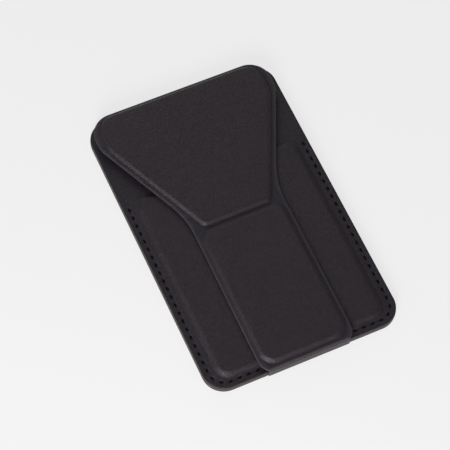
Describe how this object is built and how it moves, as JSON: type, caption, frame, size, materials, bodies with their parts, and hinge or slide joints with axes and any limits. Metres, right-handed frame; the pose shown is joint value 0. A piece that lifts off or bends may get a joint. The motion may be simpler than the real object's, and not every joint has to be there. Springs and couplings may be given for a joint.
{
  "type": "magnetic phone card holder with folding stand flap",
  "caption": "Slim leather card holder that clings to a phone by magnets, with a stitched card pocket under a kite-shaped flap that folds up into a stand.",
  "frame": {"origin": "middle of the phone face, with the flap folded shut", "axes": "+Z away from the phone, +Y from the hinged lower edge towards the wide end of the flap, +X to the right seen from the flap side"},
  "size_m": [0.065, 0.1026, 0.0057],
  "materials": {
    "front_leather": "fine-grained matte black leather, faintly warm",
    "flap_leather": "fine-grained matte black leather, pressed over stiff boards",
    "back_leather": "smooth black leather with an even matte face",
    "lining": "dark microfibre",
    "stiffener": "dark brown pressed board, painted at the edge",
    "magnet": "nickel-plated, satin",
    "steel": "thin rolled sheet"
  },
  "bodies": {
    "body": {"back_panel": "back_leather", "body_core": "stiffener", "pocket_lining": "lining", "front_panel": "front_leather", "hinge_strip": "flap_leather", "shield_ring": "steel", "ring_magnet_01": "magnet", "ring_magnet_02": "magnet", "ring_magnet_03": "magnet", "ring_magnet_04": "magnet", "ring_magnet_05": "magnet", "ring_magnet_06": "magnet", "ring_magnet_07": "magnet", "ring_magnet_08": "magnet", "ring_magnet_09": "magnet", "ring_magnet_10": "magnet", "ring_magnet_11": "magnet", "ring_magnet_12": "magnet", "ring_magnet_13": "magnet", "ring_magnet_14": "magnet", "ring_magnet_15": "magnet", "ring_magnet_16": "magnet", "align_magnet": "magnet", "catch_bar": "steel"},
    "stem": {"stem_lining": "lining", "stem_board": "stiffener", "stem_magnet_1": "magnet", "stem_magnet_2": "magnet", "stem_cover": "flap_leather"},
    "foot": {"foot_lining": "lining", "foot_board": "stiffener", "foot_magnet_1": "magnet", "foot_magnet_2": "magnet", "foot_magnet_3": "magnet", "foot_cover": "flap_leather"}
  },
  "joints": [
    {"name": "stem_hinge", "type": "hinge", "parent": "body", "child": "stem", "pos_m": [0, -0.05095, 0.0044], "axis": [1, 0, 0], "range_deg": [0, 60]},
    {"name": "foot_crease", "type": "hinge", "parent": "stem", "child": "foot", "pos_m": [0, 0.001, 0.0044], "axis": [1, 0, 0], "range_deg": [-120, 0]}
  ],
  "couplings": [
    {"joint": "foot_crease", "follows": "stem_hinge", "ratio": -2}
  ]
}
